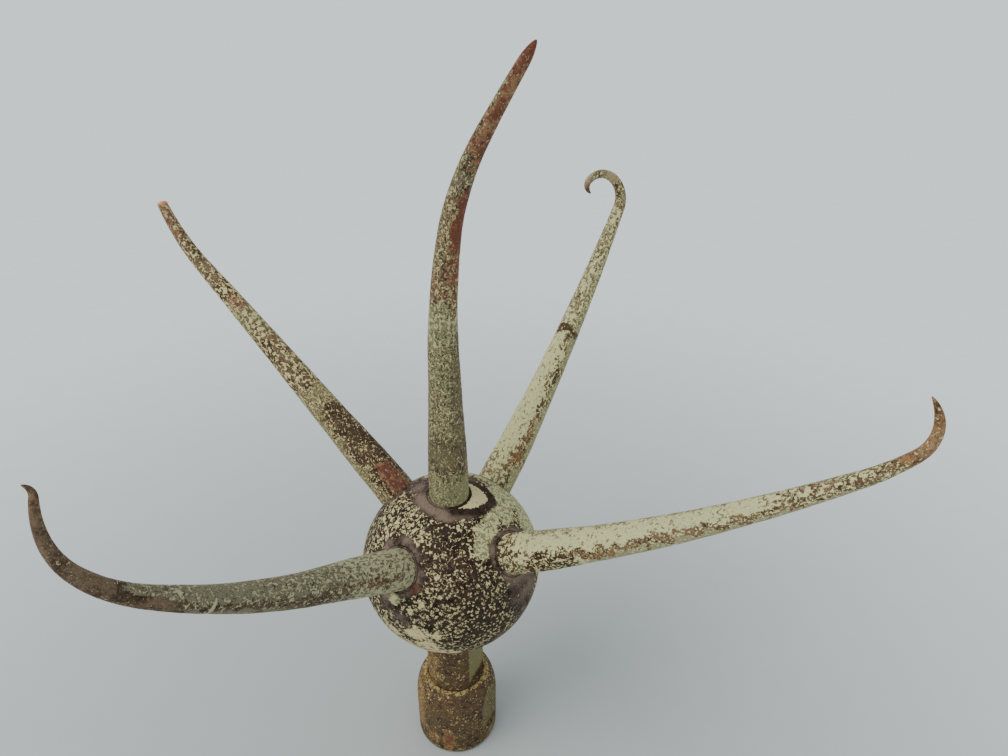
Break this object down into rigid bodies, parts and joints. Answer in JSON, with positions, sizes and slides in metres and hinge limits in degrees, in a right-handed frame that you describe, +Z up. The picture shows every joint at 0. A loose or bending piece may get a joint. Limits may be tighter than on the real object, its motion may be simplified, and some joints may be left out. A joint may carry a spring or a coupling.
{
  "type": "roof finial",
  "caption": "Ball finial with long tapered metal prongs, bent by use, on a short neck and a coupler whose bore takes a rod.",
  "frame": {"origin": "middle of the coupler's underside, on the axis of its bore and of the ball", "axes": "+Z up along the neck, -Y towards the front between the two front prongs, +X to the right"},
  "size_m": [0.2599, 0.2228, 0.3201],
  "materials": {
    "ball": "dark purple-brown oxide under flakes of pale sage-green patina",
    "prongs": "pale grey-green patina speckled with brown, rusty orange at the ends",
    "neck": "rough brown oxide with pale specks",
    "coupler": "rough red-brown oxide with ochre streaks and pale specks"
  },
  "bodies": {
    "root": {"ball": "ball", "prong_top": "prongs", "prong_front_left": "prongs", "prong_front_right": "prongs", "prong_back_left": "prongs", "prong_back_right": "prongs", "neck": "neck", "coupler": "coupler"}
  },
  "joints": []
}
